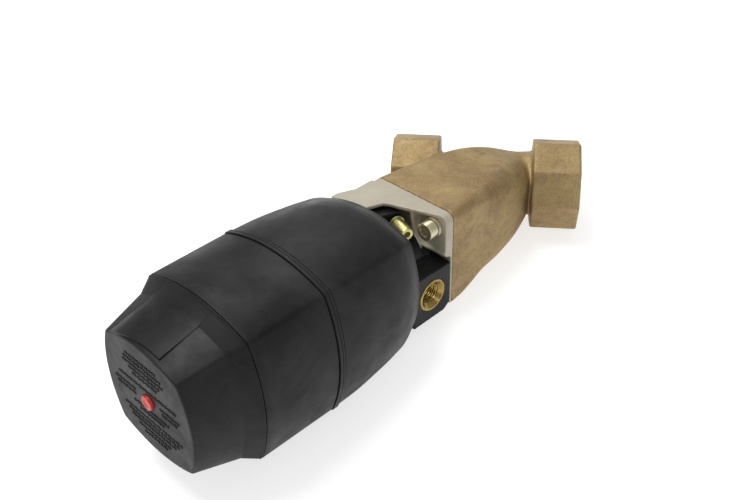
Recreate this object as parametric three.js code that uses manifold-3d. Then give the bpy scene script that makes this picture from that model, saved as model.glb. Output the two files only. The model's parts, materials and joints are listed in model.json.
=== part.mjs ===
// Pneumatic angle seat valve: a bronze Y-pattern body with octagonal threaded ends, a cast yoke,
// a side block with the air port, and a single-acting piston actuator in a plastic housing.
// It lies at rest on the two pipe ends and on the side of the housing. Millimetres, +Z up,
// +X along the pipe towards the inlet, origin under the middle of its bounding box.

import * as THREE from 'three';
import Module from 'manifold-3d';
import { mergeVertices } from 'three/addons/utils/BufferGeometryUtils.js';

const wasm = await Module();
wasm.setup();

// ---- driving dimensions -------------------------------------------------------------------
// "Stem frame": z runs along the stem from the pipe axis towards the actuator's cap,
// x points to the side with the air port, y points up.
const STEM_ANGLE = 51.8 * Math.PI / 180;   // between the stem and the pipe
const GAP = 0.3;                           // between touching pieces

const PIPE = {
  acrossFlats: 50.3, inletEnd: 43.6, inletStart: 16.1, outletEnd: -66.4, outletStart: -38.8,
  threadR: 19.5, mouthR: 21.2, threadDepth: 21, passageR: 14.2,
};
const SEAT = { radius: 14.5, bottom: 0, top: 4 };
const FLANGE = {
  half: 28.5, corner: 4.5, lowCorner: 1, drop: 2.6, bodyFace: 78.8, yokeFace: 79.1, top: 85, recess: 80.5,
};
const CHAMBER_R = 20.5;
const GASKET = { inner: 18.9, outer: 22.6, grooveR: 23, grooveBottom: 75, bottom: 75.3, top: 78.4 };
const SCREW = { offset: 20.5, shankR: 2.9, holeR: 3.2, headR: 5.1, headHeight: 6, socketAF: 5 };
const STEM = { radius: 5, endR: 4, bottom: -8, lowShoulder: 20.3, highShoulder: 138.6, top: 163 };
const BORE_R = 5.4;                        // bores that clear the stem
const PACKING_R = 9;                       // bore in the yoke that holds the packing
const GLAND = { radius: 8.6, bottom: 58.4, bushTop: 65.4, springR: 7, wire: 0.7, springTop: 80.4 };
const PACKING = { count: 5, bottom: 82.6, pitch: 2.7, thick: 2.1, rise: 1.2, ridgeR: 7, endGap: 0.6 };
const ROD_SEAL = { radius: 8, bottom: 113.4, top: 117.4, lipBottom: 115.4 };
const YOKE = { neckR: 11.5, shoulder: 111, neckTop: 121.6, wall: 2.2, webTop: 110.6 };
const BLOCK = { side: 28.5, topInner: 0.9, top: -1.7, bottom: -32.3, cap: 109.5, insertR: 9.35, portR: 5.9 };
const PORT = { y: -16.3, z: 95.1, inner: 18.5 };
const HOUSING = { floor: 111, floorTop: 116, part: 178.8, boreR: 40, ledge: 141, rebate: 172 };
const BARREL = { bottom: 179.1, top: 224.4, spigotR: 42, spigotEnd: 172.3 };
const CAP = { bottom: 224.7, ridge: 233.6, end: 257.5, wall: 4, spigotR: 39.6, spigotEnd: 214 };
const CAP_PAD = { left: -21, right: 13.3, start: 228, foot: 42.6, middle: 40, top: 35.1, end: 255.2 };
const HOUSING_WIRE = { radius: 42.15, z: 175.2, wire: 0.6, grooveWire: 1 };
const CAP_WIRE = { radius: 39.85, z: 221.4, wire: 0.55, grooveWire: 0.9 };
const PISTON = { bottom: 143, hubTop: 152, rimTop: 156, radius: 39.2 };
const PISTON_SEAL = { inner: 36, bottom: 144.5, top: 148.5 };
const PISTON_GUIDE = { inner: 37.6, bottom: 150.2, top: 153.4 };
const ROD = { radius: 4, bottom: 163.3, top: 259, holeR: 4.4 };
const SPRINGS = { bottom: 149.3, top: 251.2, outerR: 26.4, outerWire: 2.5, innerR: 17, innerWire: 1.7 };
const SMOOTH = 28;                         // segments of the large turned pieces

// ---- geometry helpers ---------------------------------------------------------------------
const v3 = (x, y, z) => new THREE.Vector3(x, y, z);

function bare(geometry) {
  geometry.deleteAttribute('normal');
  geometry.deleteAttribute('uv');
  return mergeVertices(geometry, 1e-4);
}

// A closed mesh with its faces pointing out, whichever way its profile was drawn.
function outward(geometry) {
  const clean = bare(geometry);
  const p = clean.attributes.position;
  const index = Array.from(clean.index.array);
  const faces = [];
  let volume = 0;
  for (let i = 0; i < index.length; i += 3) {
    const [a, b, c] = [index[i], index[i + 1], index[i + 2]];
    if (a === b || b === c || a === c) continue;
    faces.push(a, b, c);
    const [va, vb, vc] = [a, b, c].map((k) => v3().fromBufferAttribute(p, k));
    volume += va.dot(vb.cross(vc));
  }
  if (volume < 0) faces.reverse();
  clean.setIndex(faces);
  return clean;
}

function toSolid(geometry) {
  const closed = outward(geometry);
  return new wasm.Manifold(new wasm.Mesh({
    numProp: 3,
    vertProperties: new Float32Array(closed.attributes.position.array),
    triVerts: new Uint32Array(closed.index.array),
  }));
}

function fromSolid(solid) {
  const mesh = solid.getMesh();
  const geometry = new THREE.BufferGeometry();
  geometry.setAttribute('position', new THREE.BufferAttribute(mesh.vertProperties, 3));
  geometry.setIndex(new THREE.BufferAttribute(mesh.triVerts, 1));
  return geometry;
}

function join(...geometries) {
  return fromSolid(geometries.map(toSolid).reduce((a, b) => a.add(b)));
}

function cut(base, ...tools) {
  return fromSolid(tools.map(toSolid).reduce((a, b) => a.subtract(b), toSolid(base)));
}

function common(a, b) {
  return fromSolid(toSolid(a).intersect(toSolid(b)));
}

// A turned piece about the z axis. The profile lists [radius, z]; off the axis it closes on itself.
function turned(profile, segments = 16) {
  const points = profile.map(([r, z]) => new THREE.Vector2(r, z));
  const onAxis = profile[0][0] === 0 && profile.at(-1)[0] === 0;
  if (!onAxis) points.push(points[0].clone());
  return outward(new THREE.LatheGeometry(points, segments).rotateX(Math.PI / 2));
}

const disc = (r, z0, z1, segments) => turned([[0, z0], [r, z0], [r, z1], [0, z1]], segments);

const ring = (r0, r1, z0, z1, segments) => turned([[r0, z0], [r1, z0], [r1, z1], [r0, z1]], segments);

function oRing(radius, wire, z, segments = 20, sides = 5) {
  const profile = [];
  for (let i = 0; i < sides; i += 1) {
    const a = (2 * Math.PI * i) / sides;
    profile.push([radius + wire * Math.cos(a), z + wire * Math.sin(a)]);
  }
  return turned(profile, segments);
}

function prism(outline, z0, z1) {
  const shape = new THREE.Shape(outline.map(([x, y]) => new THREE.Vector2(x, y)));
  const body = new THREE.ExtrudeGeometry(shape, { depth: z1 - z0, bevelEnabled: false });
  return outward(body.translate(0, 0, z0));
}

const block = (x0, x1, y0, y1, z0, z1) => prism([[x0, y0], [x1, y0], [x1, y1], [x0, y1]], z0, z1);

function polygon(sides, acrossFlats, turn = 0) {
  const r = acrossFlats / 2 / Math.cos(Math.PI / sides);
  return Array.from({ length: sides }, (_, i) => {
    const a = turn + (2 * Math.PI * i) / sides;
    return [r * Math.cos(a), r * Math.sin(a)];
  });
}

// Skin over rings with the same number of points, closed by a fan at each end.
function loft(rings) {
  const n = rings[0].length;
  const position = rings.flat().flatMap((p) => [p.x, p.y, p.z]);
  const index = [];
  for (let k = 0; k + 1 < rings.length; k += 1) {
    for (let i = 0; i < n; i += 1) {
      const [a, b] = [k * n + i, k * n + (i + 1) % n];
      index.push(a, b, b + n, a, b + n, a + n);
    }
  }
  for (const k of [0, rings.length - 1]) {
    const middle = rings[k].reduce((sum, p) => sum.add(p), v3(0, 0, 0)).divideScalar(n);
    const hub = position.length / 3;
    position.push(middle.x, middle.y, middle.z);
    for (let i = 0; i < n; i += 1) {
      const [a, b] = [k * n + i, k * n + (i + 1) % n];
      index.push(...(k === 0 ? [hub, b, a] : [hub, a, b]));
    }
  }
  const geometry = new THREE.BufferGeometry();
  geometry.setAttribute('position', new THREE.Float32BufferAttribute(position, 3));
  geometry.setIndex(index);
  return outward(geometry);
}

const turnedPoint = (x, y, turn, z) => v3(
  x * Math.cos(turn) - y * Math.sin(turn),
  x * Math.sin(turn) + y * Math.cos(turn),
  z,
);

// Square section with round corners, for the casting and the yoke. The lower side lies further out
// by "drop", and its corners have a radius of their own.
function roundSquare(half, corner, z, drop = 0, lowCorner = corner, steps = 3) {
  const points = [];
  for (let side = 0; side < 4; side += 1) {
    const radius = side < 2 ? corner : lowCorner;
    const middle = half - radius;
    for (let i = 0; i <= steps; i += 1) {
      const a = (i / steps) * (Math.PI / 2);
      const [x, y] = [middle + radius * Math.cos(a), middle + radius * Math.sin(a)];
      points.push(turnedPoint(x, y, (side * Math.PI) / 2, z));
    }
  }
  points.filter((point) => point.y < 0).forEach((point) => { point.y -= drop; });
  return points;
}

// Section of the actuator: four bowed sides that meet in corners on the diagonals.
function bowedSquare(cornerR, sideR, z, steps = 7) {
  const h = cornerR / Math.SQRT2;
  const bow = sideR - h;
  const arcR = (h * h + bow * bow) / (2 * bow);
  const reach = Math.asin(h / arcR);
  const points = [];
  for (let side = 0; side < 4; side += 1) {
    const turn = (side * Math.PI) / 2;
    for (let i = 0; i < steps; i += 1) {
      const a = -reach + (2 * reach * i) / steps;
      const [x, y] = [sideR - arcR + arcR * Math.cos(a), arcR * Math.sin(a)];
      points.push(turnedPoint(x, y, turn, z));
    }
  }
  return points;
}

const bowedLoft = (sections) => loft(sections.map(([z, corner, side]) => bowedSquare(corner, side, z)));

class Helix extends THREE.Curve {
  constructor(radius, z0, z1, turns) {
    super();
    Object.assign(this, { radius, z0, z1, turns });
  }

  getPoint(u, target = v3()) {
    const a = 2 * Math.PI * this.turns * u;
    const endClosure = 0.75;               // how far the coils close up at both ends
    const rise = u - Math.sin(2 * Math.PI * u) / (2 * Math.PI) * endClosure;
    const z = this.z0 + (this.z1 - this.z0) * rise;
    return target.set(this.radius * Math.cos(a), this.radius * Math.sin(a), z);
  }
}

function coilSpring(radius, wire, bottom, top, turns, stepsPerTurn = 12, sides = 5) {
  const section = new THREE.Shape(polygon(sides, 2 * wire).map(([x, y]) => new THREE.Vector2(x, y)));
  const path = new Helix(radius, bottom + wire * 1.2, top - wire * 1.2, turns);
  const steps = Math.round(turns * stepsPerTurn);
  return outward(new THREE.ExtrudeGeometry(section, { steps, extrudePath: path, bevelEnabled: false }));
}

const basis = (x, y, z) => new THREE.Matrix4().makeBasis(x, y, z);
const [X, Y, Z] = [v3(1, 0, 0), v3(0, 1, 0), v3(0, 0, 1)];

// A shape drawn along z is turned to run along x, and one drawn in x and y stands up in x and z.
const alongX = (geometry) => geometry.applyMatrix4(basis(Y, Z, X));
const upright = (geometry) => geometry.applyMatrix4(basis(X, Z, Y));

const stemBasis = basis(
  v3(Math.sin(STEM_ANGLE), -Math.cos(STEM_ANGLE), 0),
  v3(0, 0, 1),
  v3(-Math.cos(STEM_ANGLE), -Math.sin(STEM_ANGLE), 0),
);

const inPipeFrame = (geometry) => geometry.applyMatrix4(stemBasis);

// ---- materials ----------------------------------------------------------------------------
const finish = (color, roughness, metalness) => () => (
  new THREE.MeshStandardMaterial({ color, roughness, metalness }));
const bronze = finish(0xa28a66, 0.62, 0.75);
const beige = finish(0xc5bbab, 0.6, 0.2);
const blackPlastic = finish(0x343434, 0.55, 0);
const blackRubber = finish(0x1c1c1c, 0.85, 0);
const redPlastic = finish(0xc63a35, 0.5, 0);
const brass = finish(0xc0a860, 0.3, 0.95);
const zinc = finish(0xbbb48f, 0.35, 0.9);
const steel = finish(0xa9adb0, 0.35, 0.95);
const springSteel = finish(0x6f7478, 0.4, 0.9);
const aluminium = finish(0xb7babd, 0.4, 0.85);
const ptfe = finish(0xe9e7df, 0.5, 0);

const valve = new THREE.Group();           // lies on the floor
const pipeFrame = new THREE.Group();       // x along the pipe, y in the plane of pipe and stem
const stemFrame = new THREE.Group();       // z along the stem
stemFrame.applyMatrix4(stemBasis);
pipeFrame.add(stemFrame);
valve.add(pipeFrame);

function add(name, geometry, material, group = stemFrame) {
  const mesh = new THREE.Mesh(geometry, material());
  mesh.name = name;
  group.add(mesh);
  return mesh;
}

// ---- valve body ---------------------------------------------------------------------------
function octagonEnd(x0, x1) {
  const end = 0.9;                         // small chamfer at both ends of the octagon
  const section = (x, inset) => polygon(8, PIPE.acrossFlats - 2 * inset).map(([y, z]) => v3(x, y, z));
  return loft([section(x0, end), section(x0 + end, 0), section(x1 - end, 0), section(x1, end)]);
}

function neckPipe() {
  // Radius of the casting between the octagons: a waist at the outlet, a swell at the seat.
  const profile = [[-50, 17], [-38, 17.2], [-36, 15.6], [-32, 15], [-27, 15.7], [-22, 17.6], [-16, 19],
    [-10, 19.6], [-5, 18.8], [-1, 17.9], [6, 18.2], [13, 18.6], [15.5, 20], [25, 20]];
  const points = [[0, -50], ...profile.map(([x, r]) => [r, x]), [0, 25]];
  return alongX(turned(points, 20));
}

// The square neck: [distance along the stem, half width, corner radius, lower corner radius, drop].
const NECK_SECTIONS = [
  [FLANGE.bodyFace, FLANGE.half, FLANGE.corner, FLANGE.lowCorner, FLANGE.drop],
  [72, 28.4, 5.5, 1, 1.7],
  [65, 28.1, 6, 2.4, 1.2],
  [54, 27.6, 6.8, 6.8, 0.9],
  [33, 26.6, 9.8, 9.8, 0.4],
  [16, 25, 14, 14, 0],
  [6, 22.8, 16.6, 16.6, 0],
  [-2, 19.4, 17, 17, 0],
  [-8, 16, 15, 15, 0],
  [-13, 11.5, 11, 11, 0],
  [-16, 6, 5.8, 5.8, 0],
];

function branch() {
  return loft(NECK_SECTIONS.map(([z, half, corner, lowCorner, drop]) => (
    roundSquare(half, corner, z, drop, lowCorner))));
}

function screwPositions() {
  const o = SCREW.offset;
  return [[o, o], [-o, o], [-o, -o], [o, -o]];
}

// Bores and passages of the casting, split by the web that carries the seat.
function bodyPassages() {
  const above = inPipeFrame(block(-80, 80, -60, 60, SEAT.top, 120));
  const below = inPipeFrame(block(-80, 80, -60, 60, -120, SEAT.bottom));
  const bore = (x0, x1, r) => alongX(disc(r, x0, x1, 16));
  const lift = (geometry, dy) => geometry.translate(0, dy, 0);
  const outletWay = common(join(bore(-50, -14, 12), lift(bore(-50, -14, 12), -7)), above);
  const bowl = new THREE.SphereGeometry(15.6, 12, 8);
  const inletWay = common(join(bore(-14, 24, PIPE.passageR), bowl), below);
  const { outletEnd, inletEnd, threadR, mouthR, threadDepth } = PIPE;
  const mouth = mouthR - threadR;
  const port = (x, dir) => alongX(turned([[0, x + 3 * dir], [mouthR + 3, x + 3 * dir], [mouthR, x],
    [threadR, x - dir * mouth], [threadR, x - dir * threadDepth], [12, x - dir * (threadDepth + 3)],
    [0, x - dir * (threadDepth + 3)]], 24));
  const screwHole = ([x, y]) => inPipeFrame(disc(SCREW.holeR, 58, 82, 10).translate(x, y, 0));
  return [
    outletWay, inletWay, port(outletEnd, -1), port(inletEnd, 1),
    inPipeFrame(disc(CHAMBER_R, SEAT.top, 90, 24)),
    inPipeFrame(disc(GASKET.grooveR, GASKET.grooveBottom, 90, 24)),
    inPipeFrame(disc(SEAT.radius, -6, 6, 24)),
    ...screwPositions().map(screwHole),
  ];
}

function valveBody() {
  const { outletEnd, outletStart, inletStart, inletEnd } = PIPE;
  const ends = [octagonEnd(outletEnd, outletStart), octagonEnd(inletStart, inletEnd)];
  return cut(join(...ends, neckPipe(), inPipeFrame(branch())), ...bodyPassages());
}

add('valve_body', valveBody(), bronze, pipeFrame);
add('body_gasket', ring(GASKET.inner, GASKET.outer, GASKET.bottom, GASKET.top), ptfe);

// ---- yoke between body and actuator -------------------------------------------------------
function flangePrism(z0, z1) {
  const { half, corner, drop, lowCorner } = FLANGE;
  return loft([z0, z1].map((z) => roundSquare(half, corner, z, drop, lowCorner)));
}

// Wall round the open screw pocket in the corner next to the air port, with a sloping rim.
function pocketWall() {
  const quadrant = (inner, corner, z0, z1) => {
    const outline = [[40, inner - 3.2], [inner + corner, inner - 3.2]];
    for (let i = 0; i <= 5; i += 1) {
      const a = -Math.PI / 2 - (i / 5) * (Math.PI / 2);
      outline.push([inner + corner + corner * Math.cos(a), inner - 3.2 + corner + corner * Math.sin(a)]);
    }
    outline.push([inner, 40], [40, 40]);
    return prism(outline, z0, z1);
  };
  const wall = cut(quadrant(7.6, 8, FLANGE.top - 1, 93), quadrant(9.4, 6.2, FLANGE.top - 2, 95));
  const slope = block(-60, 60, -60, 60, 0, 20).applyMatrix4(
    new THREE.Matrix4().makeRotationAxis(v3(1, 1, 0).normalize(), 0.18).setPosition(18.5, 16.5, 88.2),
  );
  return cut(common(wall, flangePrism(FLANGE.top - 1, 95)), slope);
}

// Outer web on the top or the bottom side: it leaves the corner beside the air port open.
function outerWeb() {
  const { webTop, wall } = YOKE;
  const outline = [[-28.5, 84], [24, 84], [23, 85.4], [8.5, 90.7], [-4, 95.2], [-6.4, 96.7], [-10, 105.6],
    [-10.5, webTop], [-34, webTop], [-33, 106.5], [-28.5, 97]];
  const flat = prism(outline, FLANGE.half - wall, FLANGE.half);
  return upright(flat);
}

function yoke() {
  const { recess, top, yokeFace } = FLANGE;
  const rim = 3.9;                         // where the recess for the port block meets the full plate
  const recessOutline = [[-40, recess], [BLOCK.topInner + 0.7, recess], [rim, top + 0.2],
    [rim, 92], [-40, 92]];
  const plate = cut(flangePrism(yokeFace, top), alongX(prism(recessOutline, 0.2, 40)));
  const tubeOutside = turned([[0, 58], [18.5, 58], [18.5, 80], [14, 80], [14, YOKE.shoulder],
    [YOKE.neckR, YOKE.shoulder], [YOKE.neckR, YOKE.neckTop], [0, YOKE.neckTop]]);
  const side = cut(
    block(-28.5, -28.5 + YOKE.wall, -28.5, 28.5, 84, YOKE.webTop),
    block(-30, -20, 9, 26, 86.5, 104),
    block(-30, -20, -26, -9, 86.5, 104),
  );
  const shoulder = common(bowedLoft([[104, 39.5, 34], [107.5, 43, 37.4], [YOKE.webTop, 43.2, 37.6]]),
    block(-60, -13, -28.5, 28.5, 100, 120));
  const lower = common(outerWeb().scale(1, -1, 1), block(-40, -2, -40, 0, 80, 120));
  const headTop = 94.3;
  const rib = join(
    block(-14.4, -12.9, 12, 27, 84, YOKE.webTop),
    block(-17.5, -12.9, 12, 27, headTop, YOKE.webTop),
  );
  const ribs = [rib, rib.clone().scale(1, -1, 1), block(-27, -12, -2, 2, 84, YOKE.webTop)];
  const flare = bowedLoft([[80, 39.4, 39], [97, 39.4, 39], [106.5, 43.2, 38.6], [120, 43.6, 38.8]]);
  const webs = common(join(outerWeb(), side, lower, ...ribs), flare);
  const solid = join(plate, tubeOutside, webs, shoulder, pocketWall());
  const bores = turned([[0, 50], [PACKING_R, 50], [PACKING_R, 100], [BORE_R, 100], [BORE_R, 113],
    [8.3, 113], [8.3, 125], [0, 125]]);
  const holes = screwPositions().map(([x, y]) => disc(SCREW.holeR, 70, 86, 12).translate(x, y, 0));
  return cut(solid, bores, ...holes, clampHole());
}

// ---- screw that clamps the lug of the port block -------------------------------------------
const CLAMP = {
  x: 1.2, y: 18.3, z: 94.6, tilt: 20 * Math.PI / 180, shankR: 1.9, length: 15.5, bodyR: 3.8, bodyLength: 13,
};

function alongClamp(geometry) {
  const out = v3(Math.cos(CLAMP.tilt), 0, Math.sin(CLAMP.tilt));
  const turn = basis(Y.clone().cross(out), Y, out);
  return geometry.applyMatrix4(turn.setPosition(CLAMP.x, CLAMP.y, CLAMP.z));
}

function clampHole() {
  return alongClamp(disc(CLAMP.shankR + 0.3, -CLAMP.length - 2, -CLAMP.length + 10, 16));
}

add('yoke', yoke(), beige);

function headWithSocket(radius, z0, z1, acrossFlats, depth, segments = 24) {
  return cut(disc(radius, z0, z1, segments), prism(polygon(6, acrossFlats), z1 - depth, z1 + 1));
}

screwPositions().forEach(([x, y], i) => {
  const covered = x > 0 && y < 0;          // the port block leaves room for a low head only
  const seat = covered ? FLANGE.recess + GAP : FLANGE.top + 2 * GAP + 2;
  const height = covered ? 3.2 : SCREW.headHeight;
  const head = headWithSocket(SCREW.headR, seat, seat + height, SCREW.socketAF, covered ? 2 : 3.2);
  const shank = disc(SCREW.shankR, 62, seat + 0.5, 16);
  add(`body_screw_${i + 1}`, join(head, shank).translate(x, y, 0), zinc);
  if (covered) return;
  const bottom = FLANGE.top + GAP;
  add(`body_screw_collar_${i + 1}`, ring(3.3, 5.7, bottom, bottom + 2, 20).translate(x, y, 0), zinc);
});

// ---- port block with its brass insert -------------------------------------------------------
const atPort = (geometry) => alongX(geometry).translate(0, PORT.y, PORT.z);
const AIR_HOLE = [16.2, PORT.y];

function portBlock() {
  const { side, topInner, top, bottom, cap } = BLOCK;
  const start = FLANGE.recess + GAP;
  // The upper side falls towards the air port.
  const section = (x, top) => [[bottom + 3.3, start], [top, start], [top + 0.8, cap], [bottom, cap],
    [bottom, start + 4.5]].map(([y, z]) => v3(x, y, z));
  const main = loft([section(0.6, topInner), section(side, top)]);
  const collar = common(disc(18.6, 92, cap, 36), block(0.6, 30, -30, 30, 90, cap + 1));
  const filling = common(disc(18.6, 85.6, 93, 36), block(0.6, 19, -1, 4.1, 85, 94));
  const lugSection = [[-12.6, 91.4], [CLAMP.x + 0.7, 91.4], [-5.3, cap], [-12.6, cap]];
  const lug = upright(prism(lugSection, 14.4, 24.6));
  const bridge = block(-5.5, 3, 14.4, 18.2, 98, cap);
  return cut(
    join(main, collar, filling, lug, bridge),
    disc(14.35, 80, 115, 36),
    atPort(disc(BLOCK.insertR + GAP, PORT.inner - GAP, 40, 32)),
    atPort(disc(5.6, 14, 20, 20)),
    disc(5.5, 80, 85.3, 20).translate(SCREW.offset, -SCREW.offset, 0),
    disc(2.2, PORT.z, 120, 14).translate(...AIR_HOLE, 0),
    alongClamp(disc(CLAMP.shankR + 0.3, -20, 3, 16)),
    alongClamp(disc(5, 0.1, 40, 20)),
  );
}

add('port_block', portBlock(), blackPlastic);

function portInsert() {
  const { insertR, portR, side } = BLOCK;
  const [back, front] = [PORT.inner, side + 0.3];
  const mouth = 8;
  const profile = [[portR, back], [insertR, back], [insertR, front], [mouth, front], [portR, front - 2.1]];
  return atPort(turned(profile, 28));
}

add('port_insert', portInsert(), brass);
add('port_transfer_oring', oRing(3.4, 0.55, 110.25, 14, 5).translate(...AIR_HOLE, 0), blackRubber);
const clampHead = join(
  headWithSocket(CLAMP.bodyR, 1.7, CLAMP.bodyLength, 3.5, 3.5),
  disc(CLAMP.shankR, -CLAMP.length, 2, 16),
);
add('block_clamp_screw', alongClamp(clampHead), zinc);
add('block_clamp_washer', alongClamp(ring(2.3, 4.6, 0.4, 1.4, 24)), zinc);

// ---- stem packing -------------------------------------------------------------------------
const { radius: glandR, springTop } = GLAND;
add('gland_bush', ring(BORE_R, glandR, GLAND.bottom, GLAND.bushTop), brass);
const packingSpring = coilSpring(GLAND.springR, GLAND.wire, GLAND.bushTop + 0.4, springTop, 4, 10, 4);
add('packing_spring', packingSpring, springSteel);
add('packing_washer', ring(BORE_R, glandR, springTop + 0.4, PACKING.bottom - 0.4), steel);

// The first ring has a flat bottom, the last a flat top, and the ones between are chevrons.
function packingRing(i) {
  const { count, bottom, pitch, thick, rise, ridgeR, endGap } = PACKING;
  const [first, last] = [i === 0, i === count - 1];
  const z = bottom + i * pitch + (first ? 0 : endGap);
  const top = z + thick + (last ? rise : 0);
  const [lowRidge, topRidge] = [first ? z : z + rise, last ? top : top + rise];
  return turned([[BORE_R, z], [ridgeR, lowRidge], [glandR, z], [glandR, top], [ridgeR, topRidge],
    [BORE_R, top]], 16);
}

for (let i = 0; i < PACKING.count; i += 1) add(`packing_ring_${i + 1}`, packingRing(i), ptfe);

function rodSeal() {
  const { radius, bottom, top, lipBottom } = ROD_SEAL;
  return turned([[BORE_R, bottom], [radius, bottom], [radius, top], [radius - 0.7, top],
    [radius - 1.3, lipBottom], [radius - 1.9, top], [BORE_R, top]]);
}

add('rod_seal', rodSeal(), blackRubber);
add('rod_guide_bush', ring(BORE_R, ROD_SEAL.radius, ROD_SEAL.top + 0.4, YOKE.neckTop - GAP), brass);

// ---- actuator housing ---------------------------------------------------------------------
const wireAt = ({ radius, z }, wire) => oRing(radius, wire, z, SMOOTH, 4);
const wireGroove = (place) => wireAt(place, place.grooveWire);

function lowerHousing() {
  const { floor, floorTop, part, boreR, ledge, rebate } = HOUSING;
  const outside = bowedLoft([[floor, 36.6, 31.8], [floor + 1.4, 40, 34.8], [floor + 5, 43, 37.2],
    [120, 45.2, 39.2], [131, 47.8, 42.1], [147, 50, 43.7], [160, 51.3, 44.6], [174.8, 51.8, 44.8],
    [175.4, 52.5, 45.4], [part, 52.5, 45.4]]);
  const springRoomR = boreR - 2;
  const rebateR = BARREL.spigotR + GAP;
  const cavity = turned([[0, floorTop], [32.2, floorTop], [springRoomR, ledge - 3], [springRoomR, ledge],
    [boreR, ledge], [boreR, rebate], [rebateR, rebate], [rebateR, part + 3], [0, part + 3]], SMOOTH);
  const neckHole = YOKE.neckR + GAP;
  const spigotHole = turned([[0, floor - 2], [13.8, floor - 2], [13.8, floor + 2.2], [neckHole, floor + 2.2],
    [neckHole, floorTop + 2], [0, floorTop + 2]]);
  const airHole = disc(2.5, floor - 2, floorTop + 2, 14).translate(...AIR_HOLE, 0);
  return cut(outside, cavity, spigotHole, airHole, wireGroove(HOUSING_WIRE));
}

function barrel() {
  const outside = bowedLoft([[BARREL.bottom, 51.9, 44.8], [BARREL.top, 51.6, 44.6]]);
  const spigot = disc(BARREL.spigotR, BARREL.spigotEnd, BARREL.bottom + 1, SMOOTH);
  const bore = disc(HOUSING.boreR, BARREL.spigotEnd - 2, BARREL.top + 2, SMOOTH);
  return cut(join(outside, spigot), bore, wireGroove(HOUSING_WIRE), wireGroove(CAP_WIRE));
}

// Pad on the upper side of the cap: bowed like the cap, it rounds off the ridge and stands proud
// of the slope below it.
function capPad() {
  const { left, right, start, foot, middle, top, end } = CAP_PAD;
  const cornerShare = 1.162;
  const section = (z, side) => [z, side * cornerShare, side];
  const slope = bowedLoft([section(start, foot), section(CAP.ridge, middle), section(end, top)]);
  return common(slope, block(left, right, 25, 50, start - 1, end + 1));
}

function endCap() {
  const { bottom, ridge, end, wall } = CAP;
  const outside = bowedLoft([[bottom, 51.7, 44.6], [ridge, 45.7, 39.4], [end - 0.6, 39, 33.6],
    [end, 38.4, 33]]);
  const { spigotR, spigotEnd } = CAP;
  const spigot = disc(spigotR, spigotEnd, bottom + 1, SMOOTH);
  const cavity = turned([[0, spigotEnd - 2], [36.2, spigotEnd - 2], [36.2, 226], [34.6, ridge + 1],
    [30, end - wall], [0, end - wall]], SMOOTH);
  const rodHole = turned([[0, 250], [6, 250], [6, 255.7], [ROD.holeR, 255.7], [ROD.holeR, 260], [0, 260]]);
  const sealGroove = ring(38.2, 41, 217, 219.2, SMOOTH);
  const solid = join(outside, spigot, capPad());
  return cut(solid, cavity, rodHole, sealGroove, wireGroove(CAP_WIRE));
}

add('lower_housing', lowerHousing(), blackPlastic);
add('spring_barrel', barrel(), blackPlastic);
add('end_cap', endCap(), blackPlastic);
add('housing_lock_wire', wireAt(HOUSING_WIRE, HOUSING_WIRE.wire), springSteel);
add('cap_lock_wire', wireAt(CAP_WIRE, CAP_WIRE.wire), springSteel);
add('cap_oring', oRing(39.1, 0.6, 218.1, SMOOTH, 5), blackRubber);
add('yoke_oring', oRing(12.65, 0.8, 112.1, 20, 5), blackRubber);
add('indicator_seal', oRing(5.05, 0.6, 254.9, 16, 5), blackRubber);
add('spring_seat', ring(6.6, 29.2, SPRINGS.top + 0.4, CAP.end - CAP.wall - GAP), steel);
const nutBlank = prism(polygon(6, 32), 116.4, 121.2);
add('yoke_nut', cut(nutBlank, disc(YOKE.neckR + GAP, 110, 130)), zinc);

// ---- moving stem, plug and piston ----------------------------------------------------------
function stem() {
  const { radius, endR, bottom, lowShoulder, highShoulder, top } = STEM;
  return turned([[0, bottom], [endR, bottom], [endR, lowShoulder], [radius, lowShoulder],
    [radius, highShoulder], [endR, highShoulder], [endR, top], [0, top]], 24);
}

const STEM_END_BORE = STEM.endR + GAP;

function plug() {
  const bore = STEM_END_BORE;
  return turned([[bore, 8.6], [16.3, 8.6], [16.3, 12], [9, 20], [bore, 20]]);
}

function piston() {
  const { bottom, hubTop, rimTop, radius } = PISTON;
  const bore = STEM_END_BORE;
  const groove = (g) => [[radius, g.bottom], [g.inner, g.bottom], [g.inner, g.top], [radius, g.top]];
  return turned([[bore, 139], [12.5, 139], [12.5, bottom], [radius, bottom], ...groove(PISTON_SEAL),
    ...groove(PISTON_GUIDE), [radius, rimTop], [34, rimTop], [34, 149], [12, 149], [12, hubTop],
    [bore, hubTop]], SMOOTH);
}

function hexNut(acrossFlats, z0, z1) {
  return cut(prism(polygon(6, acrossFlats), z0, z1), disc(STEM_END_BORE, z0 - 1, z1 + 1, 20));
}

add('stem', stem(), steel);
add('plug', plug(), steel);
add('seat_seal', ring(STEM_END_BORE, 16, SEAT.top + GAP, 8.3), ptfe);
add('seal_washer', ring(STEM_END_BORE, 12.5, 1.5, 4), steel);
add('plug_nut', hexNut(13, -5.3, 1.2), steel);
add('piston', piston(), aluminium);

function pistonLipSeal() {
  const [inner, bottom, top] = [PISTON_SEAL.inner + 0.4, PISTON_SEAL.bottom + 0.4, PISTON_SEAL.top - 0.4];
  const outer = HOUSING.boreR - 0.4;
  return turned([[inner, bottom], [outer, bottom], [outer - 0.4, top], [38.2, 146.4], [inner + 0.8, top],
    [inner, top]], SMOOTH);
}

function pistonGuideRing() {
  const { inner, bottom, top } = PISTON_GUIDE;
  return ring(inner + GAP, HOUSING.boreR - 0.5, bottom + 0.4, top - 0.4, SMOOTH);
}

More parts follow.
